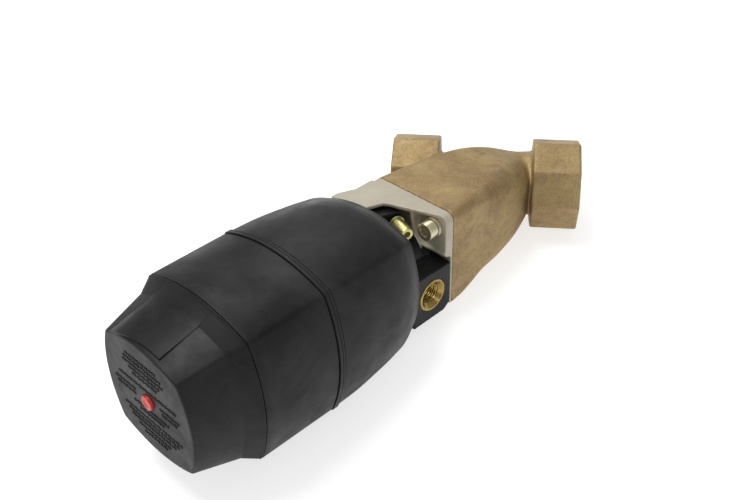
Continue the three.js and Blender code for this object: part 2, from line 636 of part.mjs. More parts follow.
add('piston_lip_seal', pistonLipSeal(), blackRubber);
add('piston_guide_ring', pistonGuideRing(), ptfe);
add('piston_washer', ring(STEM_END_BORE, 9, 152.4, 153.9), steel);
add('piston_nut', hexNut(14, 154.2, 160.4), steel);
add('indicator_rod', disc(ROD.radius, ROD.bottom, ROD.top, 24), redPlastic);
const { bottom: springBottom, top: springEnd, outerR, outerWire, innerR, innerWire } = SPRINGS;
add('outer_spring', coilSpring(outerR, outerWire, springBottom, springEnd, 6), springSteel);
add('inner_spring', coilSpring(innerR, innerWire, springBottom, springEnd, 7, 10), springSteel);

// ---- rest pose ----------------------------------------------------------------------------
// The lower corners of both octagons lie on the floor, and the valve tips about them until
// the housing touches down as well.
function settle() {
  const restLine = -PIPE.acrossFlats / 2 / Math.cos(Math.PI / 8);
  let steepest = 0;
  valve.updateMatrixWorld(true);
  valve.traverse((node) => {
    if (!node.isMesh) return;
    const p = node.geometry.attributes.position;
    for (let i = 0; i < p.count; i += 1) {
      const q = v3().fromBufferAttribute(p, i).applyMatrix4(node.matrixWorld);
      if (q.y < -30) steepest = Math.max(steepest, (restLine - q.z) / -q.y);
    }
  });
  pipeFrame.rotation.x = -Math.atan(steepest);
  valve.updateMatrixWorld(true);
  const box = new THREE.Box3().setFromObject(valve, true);
  const middle = box.getCenter(v3());
  pipeFrame.position.set(-middle.x, -middle.y, -box.min.z);
  valve.updateMatrixWorld(true);
}

settle();

export default valve;
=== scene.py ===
"""Looks of the pneumatic angle seat valve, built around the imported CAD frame.

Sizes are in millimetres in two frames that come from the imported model. The stem frame has its
origin where the stem meets the pipe, x towards the side of the air port, y up and z along the
stem. The pipe frame has x along the pipe, y in the plane of pipe and stem, and z up.
Lights stand in the model's own frame, in metres.
"""
import json
import math
import random

import bpy
import numpy as np
from mathutils import Matrix, Vector


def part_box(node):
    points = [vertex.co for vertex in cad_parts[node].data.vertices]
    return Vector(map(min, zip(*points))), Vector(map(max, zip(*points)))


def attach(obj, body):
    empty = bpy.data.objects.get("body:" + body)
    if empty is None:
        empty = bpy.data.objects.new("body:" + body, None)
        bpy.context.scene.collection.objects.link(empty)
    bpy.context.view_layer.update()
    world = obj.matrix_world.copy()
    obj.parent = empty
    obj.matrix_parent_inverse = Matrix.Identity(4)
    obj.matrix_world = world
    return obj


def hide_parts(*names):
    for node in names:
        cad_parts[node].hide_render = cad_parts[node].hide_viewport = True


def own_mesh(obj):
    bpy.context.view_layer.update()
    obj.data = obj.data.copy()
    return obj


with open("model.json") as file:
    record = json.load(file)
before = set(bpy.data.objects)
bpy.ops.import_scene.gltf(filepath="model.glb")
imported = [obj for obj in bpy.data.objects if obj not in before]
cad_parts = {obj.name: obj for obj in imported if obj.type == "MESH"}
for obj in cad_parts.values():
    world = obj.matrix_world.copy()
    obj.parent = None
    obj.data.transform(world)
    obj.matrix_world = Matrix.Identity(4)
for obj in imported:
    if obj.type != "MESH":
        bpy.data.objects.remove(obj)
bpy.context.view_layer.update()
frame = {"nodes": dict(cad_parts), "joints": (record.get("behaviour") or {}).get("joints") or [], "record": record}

MM = 0.001
FIXED = "valve_and_housing"
MOVING = "stem_and_piston"
LIFT = frame["joints"][0]

# ---- frames of the valve ------------------------------------------------------------------
STEM_MIDDLE = 77.5                      # middle of the stem's length, along the stem
along = Vector(LIFT["axis"]).normalized()
pipe_x = Vector((1, 0, 0))
upward = along.cross(pipe_x).normalized()
sideways = upward.cross(along)
stem_low, stem_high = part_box("stem")
crossing = (stem_low + stem_high) / 2 - along * STEM_MIDDLE * MM


def basis(x, y, z):
    columns = Matrix((x, y, z)).transposed().to_4x4()
    return Matrix.Translation(crossing) @ columns @ Matrix.Scale(MM, 4)


STEM = basis(sideways, upward, along)
PIPE = basis(pipe_x, upward.cross(pipe_x), upward)

# ---- driving sizes ------------------------------------------------------------------------
OCTAGON = dict(across_flats=50.3, inlet=(16.1, 43.6), outlet=(-66.4, -38.8))
PIPE_THREAD = dict(radius=19.5, mouth=21.2, depth=21, pitch=2.309, height=1.3)
BODY_FACE = 78.8                        # front of the body's flange, along the stem
INSERT = dict(y=-16.3, z=95.1, inner=18.5, front=28.8, radius=9.6)
PORT_THREAD = dict(radius=5.9, mouth=8.3, depth=INSERT["front"] - INSERT["inner"] + 1, pitch=1.337,
                   height=0.75)
SCREW_OFFSET = 20.5                     # from the stem's axis to a body screw, across and up


# ---- meshes -------------------------------------------------------------------------------
def new_object(name, points, faces, place=STEM, smooth=35):
    mesh = bpy.data.meshes.new(name)
    world = np.asarray(points, float) @ np.array(place.to_3x3()).T + np.array(place.translation)
    mesh.from_pydata(world.tolist(), [], [list(f) for f in faces])
    mesh.update()
    obj = bpy.data.objects.new(name, mesh)
    bpy.context.scene.collection.objects.link(obj)
    shade(obj, smooth)
    return obj


def shade(obj, angle):
    obj.data.shade_smooth()
    obj.data.set_sharp_from_angle(angle=math.radians(angle))


def apply_modifiers(obj):
    graph = bpy.context.evaluated_depsgraph_get()
    mesh = bpy.data.meshes.new_from_object(obj.evaluated_get(graph))
    obj.modifiers.clear()
    old = obj.data
    obj.data = mesh
    bpy.data.meshes.remove(old)
    return obj


def combine(obj, tool, operation="DIFFERENCE", smooth=35):
    """Joins or cuts obj with tool, which is used up."""
    step = obj.modifiers.new("combine", "BOOLEAN")
    step.operation = operation
    step.solver = "MANIFOLD"
    step.object = tool
    bpy.context.view_layer.update()
    apply_modifiers(obj)
    bpy.data.objects.remove(tool)
    shade(obj, smooth)
    return obj


def skin_faces(rings, around, closed=False):
    """Quads between rings of points, one ring after the other."""
    faces = []
    for k in range(rings if closed else rings - 1):
        a, b = k * around, ((k + 1) % rings) * around
        for i in range(around):
            j = (i + 1) % around
            faces.append((a + i, a + j, b + j, b + i))
    return faces


def circle(radius, z, around):
    angle = np.arange(around) * 2 * math.pi / around
    return np.stack([radius * np.cos(angle), radius * np.sin(angle), np.full(around, float(z))], 1)


def turned(name, profile, around, place=STEM):
    """A turned piece. Its profile of (radius, z) closes on itself, or ends on the axis at both ends."""
    solid = profile[0][0] == 0
    rings = profile[1:-1] if solid else profile
    points = np.concatenate([circle(r, z, around) for r, z in rings])
    faces = skin_faces(len(rings), around, closed=not solid)
    if solid:
        count = len(points)
        points = np.concatenate([points, [[0, 0, profile[0][1]], [0, 0, profile[-1][1]]]])
        last = (len(rings) - 1) * around
        for i in range(around):
            j = (i + 1) % around
            faces.append((count, j, i))
            faces.append((count + 1, last + i, last + j))
    rise = sum((b[1] - a[1]) * (a[0] + b[0]) for a, b in zip(profile, profile[1:] + profile[:1]))
    if rise < 0:
        faces = [f[::-1] for f in faces]
    return new_object(name, points, faces, place)


def prism(name, outline, z0, z1, place):
    n = len(outline)
    points = [(x, y, z) for z in (z0, z1) for x, y in outline]
    faces = [(i, (i + 1) % n, n + (i + 1) % n, n + i) for i in range(n)]
    faces += [tuple(range(n))[::-1], tuple(range(n, 2 * n))]
    return new_object(name, points, faces, place)


def hexagon(across_flats):
    r = across_flats / math.sqrt(3)
    return [(r * math.cos(k * math.pi / 3), r * math.sin(k * math.pi / 3)) for k in range(6)]


def placed(x, y, z, turn):
    """The stem frame moved to a point, and turned there."""
    return STEM @ Matrix.Translation((x, y, z)) @ turn


def finish_piece(obj, body, slot, material, *nodes):
    obj.data.materials.clear()
    obj.data.materials.append(material)
    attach(obj, body)
    if nodes:
        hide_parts(*nodes)
    return obj


# ---- solids from distance fields ------------------------------------------------------------
def sample_grid(low, high, cell):
    axes = [np.arange(a, b + cell, cell, dtype=np.float32) for a, b in zip(low, high)]
    return np.meshgrid(*axes, indexing="ij")


def smooth_min(a, b, radius):
    h = np.clip(0.5 + 0.5 * (b - a) / radius, 0, 1)
    return b + (a - b) * h - radius * h * (1 - h)


def cell_points(field, cells):
    """Each cell's mean of the points where the field changes sign on its edges, counted in cells."""
    total = np.zeros((len(cells), 3))
    crossings = np.zeros(len(cells))
    x, y, z = cells.T
    for axis in range(3):
        for u in (0, 1):
            for v in (0, 1):
                start = [u, v]
                start.insert(axis, 0)
                stop = list(start)
                stop[axis] = 1
                a = field[x + start[0], y + start[1], z + start[2]].astype(float)
                b = field[x + stop[0], y + stop[1], z + stop[2]].astype(float)
                crosses = (a < 0) != (b < 0)
                share = np.where(crosses, a / np.where(a == b, 1, a - b), 0)
                point = np.array(start, float)[None, :].repeat(len(cells), 0)
                point[:, axis] = share
                total[crosses] += point[crosses]
                crossings += crosses
    return cells + total / crossings[:, None]


def cell_quads(inside, number):
    """A quad between the four cells around each grid edge that the surface crosses."""
    quads = []
    for axis in range(3):
        lower = [slice(1, None)] * 3
        upper = [slice(1, None)] * 3
        lower[axis] = slice(0, -1)
        first, second = inside[tuple(lower)], inside[tuple(upper)]
        u, v = [k for k in range(3) if k != axis]
        if axis == 1:
            u, v = v, u
        for inward, edge in ((False, first & ~second), (True, ~first & second)):
            at = np.argwhere(edge) + np.array([0 if k == axis else 1 for k in range(3)])
            at = at[np.all(at < np.array(number.shape), axis=1)]
            corners = []
            for du, dv in ((1, 1), (0, 1), (0, 0), (1, 0)):
                c = at.copy()
                c[:, u] -= du
                c[:, v] -= dv
                corners.append(number[c[:, 0], c[:, 1], c[:, 2]])
            quad = np.stack(corners, 1)
            quads.append(quad[:, ::-1] if inward else quad)
    return np.concatenate(quads)


def surface_of(field, low, cell):
    """Points and quads of the surface where the field changes sign, one point in each cell it crosses."""
    nx, ny, nz = field.shape
    inside = field < 0
    corners = [(i, j, k) for i in (0, 1) for j in (0, 1) for k in (0, 1)]
    count = sum(inside[i:nx - 1 + i, j:ny - 1 + j, k:nz - 1 + k].astype(np.int8) for i, j, k in corners)
    active = (count > 0) & (count < len(corners))
    cells = np.argwhere(active)
    number = np.full(active.shape, -1, np.int64)
    number[active] = np.arange(len(cells))
    return cell_points(field, cells) * cell + np.array(low), cell_quads(inside, number)


def eased(z, table):
    """Smooth curve through the rows (z, value) of a table, level beyond its ends."""
    zs, values = np.array(table, float).T
    slopes = np.gradient(values, zs)
    k = np.clip(np.searchsorted(zs, z) - 1, 0, len(zs) - 2)
    width = zs[k + 1] - zs[k]
    u = np.clip((z - zs[k]) / width, 0, 1)
    a = values[k] * (1 + 2 * u) * (1 - u) ** 2 + values[k + 1] * u * u * (3 - 2 * u)
    return a + width * (slopes[k] * u * (1 - u) ** 2 - slopes[k + 1] * u * u * (1 - u))


# ---- materials ------------------------------------------------------------------------------
class Paint:
    """A material with its nodes, and short calls for the nodes it is made of."""

    def __init__(self, name, roughness, metallic=0.0):
        self.material = bpy.data.materials.new(name)
        self.material.use_nodes = True
        self.tree = self.material.node_tree
        self.shader = self.tree.nodes["Principled BSDF"]
        self.shader.inputs["Roughness"].default_value = roughness
        self.shader.inputs["Metallic"].default_value = metallic
        self.place = self.tree.nodes.new("ShaderNodeTexCoord").outputs["Object"]

    def link(self, output, socket):
        self.tree.links.new(output, self.shader.inputs[socket] if isinstance(socket, str) else socket)

    def noise(self, scale, detail=4.0, roughness=0.55, distortion=0.0, stretch=None):
        node = self.tree.nodes.new("ShaderNodeTexNoise")
        node.inputs["Scale"].default_value = scale
        node.inputs["Detail"].default_value = detail
        node.inputs["Roughness"].default_value = roughness
        node.inputs["Distortion"].default_value = distortion
        source = self.place
        if stretch:
            mapping = self.tree.nodes.new("ShaderNodeMapping")
            mapping.inputs["Scale"].default_value = stretch
            self.link(self.place, mapping.inputs["Vector"])
            source = mapping.outputs["Vector"]
        self.link(source, node.inputs["Vector"])
        return node.outputs["Fac"]

    def ramp(self, factor, stops):
        node = self.tree.nodes.new("ShaderNodeValToRGB")
        ramp = node.color_ramp
        while len(ramp.elements) < len(stops):
            ramp.elements.new(0.5)
        for element, (position, colour) in zip(ramp.elements, stops):
            element.position = position
            element.color = (*colour, 1) if hasattr(colour, "__len__") else (colour,) * 3 + (1,)
        self.link(factor, node.inputs["Fac"])
        return node.outputs["Color"]

    def mix(self, factor, a, b, blend="MIX"):
        node = self.tree.nodes.new("ShaderNodeMix")
        node.data_type = "RGBA"
        node.blend_type = blend
        for socket, value in ((node.inputs["Factor"], factor), (node.inputs["A"], a), (node.inputs["B"], b)):
            self.put(value, socket)
        return node.outputs["Result"]

    def put(self, value, socket):
        if isinstance(value, bpy.types.NodeSocket):
            self.link(value, socket)
        elif hasattr(value, "__len__"):
            socket.default_value = (*value, 1)
        else:
            socket.default_value = value

    def bump(self, height, distance, strength=1.0, below=None):
        node = self.tree.nodes.new("ShaderNodeBump")
        node.inputs["Strength"].default_value = strength
        node.inputs["Distance"].default_value = distance
        self.link(height, node.inputs["Height"])
        if below is not None:
            self.link(below, node.inputs["Normal"])
        return node.outputs["Normal"]

    def vary(self, socket, low, high, *noise):
        """Lets a socket wander between two values with a noise."""
        self.link(self.ramp(self.noise(*noise), [(0.3, low), (0.7, high)]), socket)


def cast_bronze():
    dark, light, stain = (0.29, 0.195, 0.088), (0.44, 0.325, 0.150), (0.21, 0.14, 0.078)
    p = Paint("cast_bronze", 0.56, 0.62)
    patches = p.ramp(p.noise(30, 6, 0.66, 0.4), [(0.34, dark), (0.66, light)])
    grain = p.ramp(p.noise(850, 3, 0.7), [(0.36, (0.62, 0.6, 0.58)), (0.6, (1.0, 1.0, 1.0))])
    grained = p.mix(0.55, patches, grain, "MULTIPLY")
    stains = p.ramp(p.noise(80, 5, 0.7, 0.8), [(0.34, 0.6), (0.46, 0.0)])
    p.link(p.mix(stains, grained, stain), "Base Color")
    p.vary("Roughness", 0.47, 0.66, 260, 3)
    sand = p.bump(p.noise(900, 3, 0.7), 0.00028, 0.55)
    p.link(p.bump(p.noise(150, 3, 0.5), 0.0005, 0.3, sand), "Normal")
    return p.material


def machined_bronze():
    dark, light = (0.50, 0.35, 0.17), (0.62, 0.45, 0.23)
    p = Paint("machined_bronze", 0.33, 0.9)
    p.vary("Base Color", dark, light, 60, 3)
    p.vary("Roughness", 0.26, 0.4, 500, 3)
    return p.material


def beige_coat():
    dark, light, stain = (0.385, 0.345, 0.262), (0.45, 0.41, 0.32), (0.33, 0.27, 0.17)
    p = Paint("beige_casting", 0.5, 0.12)
    tone = p.ramp(p.noise(45, 4, 0.6), [(0.3, dark), (0.7, light)])
    stains = p.ramp(p.noise(160, 4, 0.7, 0.5), [(0.62, 0.0), (0.76, 0.5)])
    p.link(p.mix(stains, tone, stain), "Base Color")
    p.vary("Roughness", 0.42, 0.58, 300, 3)
    p.link(p.bump(p.noise(700, 3, 0.6), 0.00022, 0.35), "Normal")
    return p.material


def black_plastic(name="black_plastic", tone=0.0072, roughness=0.4):
    """Moulded plastic with dust in soft patches, rubbed specks and faint streaks."""
    clean, dust, rub, streak = (tone,) * 3, (tone * 2.8,) * 3, (0.05, 0.049, 0.044), (0.036, 0.034, 0.029)
    p = Paint(name, roughness)
    p.shader.inputs["Specular IOR Level"].default_value = 0.16
    dusty = p.ramp(p.noise(22, 7, 0.68, 0.5), [(0.40, clean), (0.68, dust)])
    specks = p.ramp(p.noise(780, 2, 0.5), [(0.68, 0.0), (0.80, 0.45)])
    streaks = p.ramp(p.noise(60, 5, 0.7, 1.4, (1.0, 0.25, 1.6)), [(0.60, 0.0), (0.78, 0.35)])
    p.link(p.mix(streaks, p.mix(specks, dusty, rub), streak), "Base Color")
    p.vary("Roughness", roughness - 0.1, roughness + 0.14, 55, 5, 0.6, 0.3)
    grain = p.bump(p.noise(2400, 2, 0.6), 0.00008, 0.5)
    p.link(p.bump(p.noise(120, 4, 0.5), 0.0002, 0.22, grain), "Normal")
    return p.material


def zinc_plate(name="zinc_plate", blue=1.0):
    """Zinc with the changing tint of its passivation, which is yellower where it has less blue."""
    p = Paint(name, 0.33, 0.85)
    tints = [(0.30, (0.56, 0.52, 0.26 * blue)), (0.46, (0.58, 0.59, 0.42 * blue)),
             (0.60, (0.60, 0.46, 0.30 * blue)), (0.74, (0.42, 0.54, 0.34 * blue))]
    p.link(p.ramp(p.noise(330, 3, 0.5, 0.8), tints), "Base Color")
    p.vary("Roughness", 0.26, 0.42, 900, 3)
    return p.material


def bright_brass():
    dark, light = (0.25, 0.172, 0.046), (0.38, 0.272, 0.085)
    p = Paint("turned_brass", 0.2, 0.97)
    p.vary("Base Color", dark, light, 200, 3)
    p.vary("Roughness", 0.15, 0.3, 700, 3)
    return p.material


def plain_metal(name, dark, light, roughness):
    p = Paint(name, roughness, 0.95)
    p.vary("Base Color", dark, light, 80, 4)
    p.vary("Roughness", roughness - 0.07, roughness + 0.09, 400, 3)
    p.link(p.bump(p.noise(1500, 2), 0.00004, 0.4), "Normal")
    return p.material


def soft_material(name, dark, light, roughness, grain=0.0001):
    p = Paint(name, roughness)
    p.vary("Base Color", dark, light, 70, 4)
    p.vary("Roughness", roughness - 0.06, roughness + 0.06, 350, 3)
    p.link(p.bump(p.noise(1800, 2), grain, 0.4), "Normal")
    return p.material


MATERIAL = {
    "cast_bronze": cast_bronze(),
    "beige_casting": beige_coat(),
    "black_plastic": black_plastic(),
    "black_rubber": soft_material("black_rubber", (0.012,) * 3, (0.022,) * 3, 0.7),
    "red_plastic": soft_material("red_plastic", (0.50, 0.022, 0.018), (0.62, 0.035, 0.028), 0.38, 0.00005),
    "turned_brass": bright_brass(),
    "zinc_plate": zinc_plate(),
    "steel": plain_metal("steel", (0.42, 0.43, 0.44), (0.55, 0.56, 0.57), 0.3),
    "spring_steel": plain_metal("spring_steel", (0.15, 0.16, 0.17), (0.24, 0.25, 0.26), 0.38),
    "aluminium": plain_metal("aluminium", (0.56, 0.57, 0.58), (0.66, 0.67, 0.68), 0.36),
    "ptfe": soft_material("ptfe", (0.76, 0.75, 0.70), (0.84, 0.83, 0.79), 0.42, 0.00003),
}
machined = machined_bronze()
yellow_zinc = zinc_plate("yellow_zinc", 0.66)
# The end-face bars get a darker, rougher plastic than the cap: painted shade, standing in for the shade the raised
# bars catch.
painted_shade_bar_plastic = black_plastic("bar_plastic_with_painted_shade", 0.006, 0.6)

for row in frame["record"]["subparts"]:
    node = frame["nodes"][row["node"]]
    node.data.materials.clear()
    node.data.materials.append(MATERIAL[row["material_slot"]])

# ---- valve body -----------------------------------------------------------------------------
STEM_SLOPE = math.atan2(-along.dot(upward.cross(pipe_x)), -along.x)
BODY_GRID = dict(low=(-73.3, -82.1, -32.3), high=(46, 29, 31), cell=0.66)
# Rows of (place, size) for eased: the pipe's outside along the pipe, the others along the stem.
NECK_RADIUS = [(-40, 17), (-36, 15.6), (-32, 15), (-27, 15.7), (-22, 17.6), (-16, 19), (-10, 19.6),
               (-5, 18.8), (-1, 17.9), (6, 18.2), (13, 18.6), (20, 19)]
NECK_SPAN = (-42, 20)
BRANCH_HALF = [(-16, 6), (-13, 11.5), (-8, 16), (-2, 19.4), (6, 22.8), (16, 25), (33, 26.6),
               (54, 27.6), (72, 28.4), (79, 28.5)]
ROUND_CORNER = [(-16, 5.8), (-13, 11), (-8, 15), (-2, 17), (6, 16.6), (16, 14), (33, 9.8), (54, 6.8)]
UPPER_CORNER = ROUND_CORNER + [(72, 5.5), (79, 4.5)]
LOWER_CORNER = ROUND_CORNER + [(60, 4.1), (65, 2.4), (70, 1), (79, 0.8)]
LOWER_DROP = [(16, 0), (33, 0.4), (54, 0.9), (65, 1.2), (72, 1.7), (78.8, 2.6)]
BRANCH_START = -16.5
OVERHANG = dict(start=20, reach=10)     # from start on, the branch may pass the outlet's end face
BLEND = dict(flats=0.6, rims=1.3, castings=3, seat=0.8)
# The passages: the outlet's is two bores, one lower by some mm; a bowl widens the inlet's.
OUTLET_PASSAGE = dict(radius=12, lower=7, end=-14)
CHAMBER = dict(radius=20.5, start=4)
INLET_PASSAGE = dict(radius=14.2, start=-14, end=24, bowl=15.6)
SEAT = dict(radius=14.5, half=6)
BODY_MOUTH = dict(radius=23, start=75)
SCREW_HOLE = dict(radius=3.2, start=58)
# Machined are the threads, within radius and depth, and what lies flat at an end face.
MACHINED = dict(radius=21.4, depth=21.5, face=0.2, flatness=0.95)


def octagon_field(x, y, z, start, end):
    flats = np.full_like(x, -1e3)
    for k in range(4):
        a = math.pi / 8 + k * math.pi / 4
        flat = np.abs(y * math.cos(a) + z * math.sin(a)) - OCTAGON["across_flats"] / 2
        flats = -smooth_min(-flats, -flat, BLEND["flats"])
    return -smooth_min(-flats, -np.maximum(start - x, x - end), BLEND["rims"])


def branch_field(t, z, w):
    """The branch along the stem, a rounded square whose lower side drops towards the flange."""
    half = eased(w, BRANCH_HALF)
    corner = np.where(z < 0, eased(w, LOWER_CORNER), eased(w, UPPER_CORNER))
    across = np.abs(t) - half + corner
    up = np.where(z < 0, -z - eased(w, LOWER_DROP), z) - half + corner
    outer = np.hypot(np.maximum(across, 0), np.maximum(up, 0))
    branch = outer + np.minimum(np.maximum(across, up), 0) - corner
    return np.maximum(branch, BRANCH_START - w)


def outside_field(x, y, z, t, w):
    neck = np.hypot(y, z) - eased(x, NECK_RADIUS)
    neck = np.maximum(neck, np.maximum(x - NECK_SPAN[1], NECK_SPAN[0] - x))
    casting = smooth_min(neck, branch_field(t, z, w), BLEND["castings"])
    inlet, outlet = OCTAGON["inlet"], OCTAGON["outlet"]
    ends = np.minimum(octagon_field(x, y, z, *inlet), octagon_field(x, y, z, *outlet))
    outside = np.maximum(smooth_min(casting, ends, BLEND["castings"]), w - BODY_FACE)
    past_outlet = outlet[0] - x - (w > OVERHANG["start"]) * OVERHANG["reach"]
    return np.maximum(outside, np.maximum(x - inlet[1], past_outlet))


def passage_field(x, y, z, t, w):
    radius, stem_radius = np.hypot(y, z), np.hypot(t, z)
    outlet = np.minimum(radius, np.hypot(y + OUTLET_PASSAGE["lower"], z)) - OUTLET_PASSAGE["radius"]
    outlet = np.maximum(outlet, np.maximum(x - OUTLET_PASSAGE["end"], CHAMBER["start"] - w))
    chamber = np.maximum(stem_radius - CHAMBER["radius"], CHAMBER["start"] - w)
    inlet = np.maximum(radius - INLET_PASSAGE["radius"], INLET_PASSAGE["start"] - x)
    inlet = np.minimum(inlet, np.sqrt(x * x + y * y + z * z) - INLET_PASSAGE["bowl"])
    inlet = np.maximum(inlet, np.maximum(x - INLET_PASSAGE["end"], w))
    seat = np.maximum(stem_radius - SEAT["radius"], np.abs(w) - SEAT["half"])
    mouth = np.maximum(stem_radius - BODY_MOUTH["radius"], BODY_MOUTH["start"] - w)
    hole = np.hypot(np.abs(t) - SCREW_OFFSET, np.abs(z) - SCREW_OFFSET) - SCREW_HOLE["radius"]
    hole = np.maximum(hole, SCREW_HOLE["start"] - w)
    inside = smooth_min(np.minimum(np.minimum(outlet, chamber), inlet), seat, BLEND["seat"])
    return np.minimum(inside, np.minimum(mouth, hole))


def body_field(x, y, z):
    """The casting less its passages, negative in the metal. Across the stem is t, along it w."""
    t = x * math.sin(STEM_SLOPE) - y * math.cos(STEM_SLOPE)
    w = -x * math.cos(STEM_SLOPE) - y * math.sin(STEM_SLOPE)
    return np.maximum(outside_field(x, y, z, t, w), -passage_field(x, y, z, t, w))


def thread_tool(name, place, radius, mouth, depth, pitch, height, steps=64, rows_per_pitch=7):
    """Solid that cuts a threaded hole along z, from z = 0 down to -depth, with a chamfered mouth."""
    levels = np.linspace(1.0, -depth, int(depth / pitch * rows_per_pitch) + 2)
    steepness, drop = 1.3, 0.15         # the wave is made steeper and lower, then cut flat at 0 and 1
    rings = []
    for z in levels:
        ring = circle(1.0, z, steps)
        turn = np.arange(steps) / steps
        wave = np.abs(((z / pitch + turn) % 1.0) * 2 - 1)
        fade = np.clip((z + depth) / pitch, 0, 1)
        crest = radius + height * fade * np.clip(wave * steepness - drop, 0, 1)
        ring[:, :2] *= np.maximum(crest, mouth + z)[:, None]
        rings.append(ring)
    points = np.concatenate(rings + [[[0, 0, levels[0]], [0, 0, levels[-1]]]])
    count = len(levels) * steps
    faces = [f[::-1] for f in skin_faces(len(levels), steps)]
    for i in range(steps):
        j = (i + 1) % steps
        faces.append((count, i, j))
        faces.append((count + 1, count - steps + j, count - steps + i))
    return new_object(name, points, faces, place)


def along_x(x, direction):
    """The pipe frame moved to x, with z pointing out of the pipe end there."""
    turn = Matrix.Rotation(direction * math.pi / 2, 4, "Y")
    return PIPE @ Matrix.Translation((x, 0, 0)) @ turn


def machine_ends(body, ends):
    """Gives the end faces and the threads the look of cut metal."""
    body.data.materials.append(machined)
    end_faces = [crossing.x + x * MM for x in ends]
    axis = Vector((0, crossing.y, crossing.z))
    for face in body.data.polygons:
        centre = face.center
        from_end = min(abs(centre.x - x) for x in end_faces)
        from_axis = (Vector((0, centre.y, centre.z)) - axis).length
        at_end = from_end < MACHINED["face"] * MM and abs(face.normal.x) > MACHINED["flatness"]
        in_thread = from_axis < MACHINED["radius"] * MM and from_end < MACHINED["depth"] * MM
        if at_end or in_thread:
            face.material_index = 1


def valve_body():
    low, high, cell = BODY_GRID["low"], BODY_GRID["high"], BODY_GRID["cell"]
    points, quads = surface_of(body_field(*sample_grid(low, high, cell)), low, cell)
    body = new_object("valve_body_casting", points, quads, PIPE, 60)
    ends = (OCTAGON["inlet"][1], OCTAGON["outlet"][0])
    for x, direction in zip(ends, (1, -1)):
        combine(body, thread_tool("thread", along_x(x, direction), **PIPE_THREAD), smooth=60)
    finish_piece(body, FIXED, "cast_bronze", MATERIAL["cast_bronze"], "valve_body")
    machine_ends(body, ends)
    return body


# ---- castings and mouldings refined from their CAD solids -------------------------------------
def recast(node, name, slot, cell, rounds):
    """The node's solid with small fillets on its edges, as a mould leaves them."""
    obj = bpy.data.objects.new(name, frame["nodes"][node].data.copy())
    bpy.context.scene.collection.objects.link(obj)
    grid = obj.modifiers.new("grid", "REMESH")
    grid.mode = "VOXEL"
    grid.voxel_size = cell * MM
    soften = obj.modifiers.new("soften", "SMOOTH")
    soften.iterations = rounds
    bpy.context.view_layer.update()
    apply_modifiers(obj)
    shade(obj, 70)
    return finish_piece(obj, FIXED, slot, MATERIAL[slot], node)


# ---- actuator housing -------------------------------------------------------------------------
# Outsides are rows of (z, corner, side), where corner and side are the distances of the ridges
# and of the bowed sides from the axis. Bores are rows of (z, radius), from the far end back.
AROUND = 288
RIDGE_ANGLE = 28
EDGE = 0.3                              # how soft the ridges on the corners are
INSET = 0.26                            # the CAD shells have flat facets, which lie this much lower

HOUSING_LEVELS = (111.6, 120, 174.6)
HOUSING_START = (111, 36.6, 31.8)
HOUSING_OUTSIDE = [(111.6, 37.6, 32.6), (113, 40.8, 35.4), (116, 43, 37.2), (120, 45.2, 39.2),
                   (131, 47.8, 42.1), (147, 50, 43.7), (160, 51.3, 44.6), (174.6, 51.8, 44.8)]
HOUSING_BAND = [(174.8, 51.5, 44.5), (175.1, 51.5, 44.5), (175.3, 52.3, 45.2), (175.6, 52.5, 45.4),
                (176.6, 52.5, 45.4), (176.8, 52.2, 45.1), (177.0, 52.5, 45.4), (178.5, 52.5, 45.4),
                (178.75, 52.3, 45.2), (178.8, 52.1, 45.0)]
HOUSING_BORE = [(178.8, 42.3), (172, 42.3), (172, 40), (141, 40), (141, 38), (138, 38), (116, 32.2),
                (116, 11.8), (113.2, 11.8), (113.2, 13.8), (111, 13.8)]

BARREL = dict(start=180, length=44, corner=51.9, side=44.8, corner_taper=0.3, side_taper=0.2)
BARREL_FOOT = [(179.1, 51.3, 44.2), (179.2, 51.7, 44.6), (179.5, 51.9, 44.8)]
BARREL_LEVELS = (181, 223.9)
BARREL_RIM = [(224.25, 51.5, 44.5), (224.4, 51.2, 44.2)]
BARREL_BORE = [(224.4, 40), (172.3, 40), (172.3, 42), (179.1, 42)]

CAP = dict(bottom=224.7, ridge=233.6, end=257.5)
CAP_FOOT = dict(corner=51.7, side=44.6, corner_fall=6.0, side_fall=5.2)
CAP_TOP = dict(corner=45.7, side=39.4, corner_fall=6.7, side_fall=5.8)
CAP_BORE = [(CAP["end"], 20), (CAP["end"], 6), (CAP["end"], 4.4), (255.7, 4.4), (255.7, 6), (253.5, 6),
            (253.5, 30), (234.6, 34.6), (226, 36.2), (214, 36.2), (214, 39.6), (CAP["bottom"], 39.6)]
CAP_ROOM = [(0, 220), (39, 220), (39, CAP["bottom"] + 0.2), (37.2, 233), (32, 254), (0, 254)]

# The pad on the cap. Left of full, a share of the corner's x, it sinks in as far as its left end.
# Ridge and top are its heights at the cap's ridge and at its end, bow is its arc's radius over
# its height, and foot is how far down it reaches into the cap.
PAD = dict(left=-0.95, full=-0.54, right=13.3, start=228.0, end=255.2, ridge=39.5, top=35.1,
           rounding=0.9, lower=0.04, bow=1.983, sink=2.4, foot=18)
PAD_CORNER = dict(size=32.3, fall=0.2)  # the corner's x at the ridge, and its fall for each mm beyond
PAD_EDGE = dict(bend=0.6, x=7, width=10, power=1.5, margin=0.15)    # left of x the edge bends on


def bowed_radius(corner, side, angle):
    """Distance from the axis to four bowed sides that meet in soft corners on the diagonals."""
    h = (corner + EDGE * math.log(2)) / math.sqrt(2)
    bow = side - h
    arc = (h * h + bow * bow) / (2 * bow)
    offset = side - arc
    total = 0
    for k in range(4):
        turn = angle - k * math.pi / 2
        total = total + np.exp(-(offset * np.cos(turn) + np.sqrt(arc**2 - (offset * np.sin(turn))**2)) / EDGE)
    return -EDGE * np.log(total) - INSET


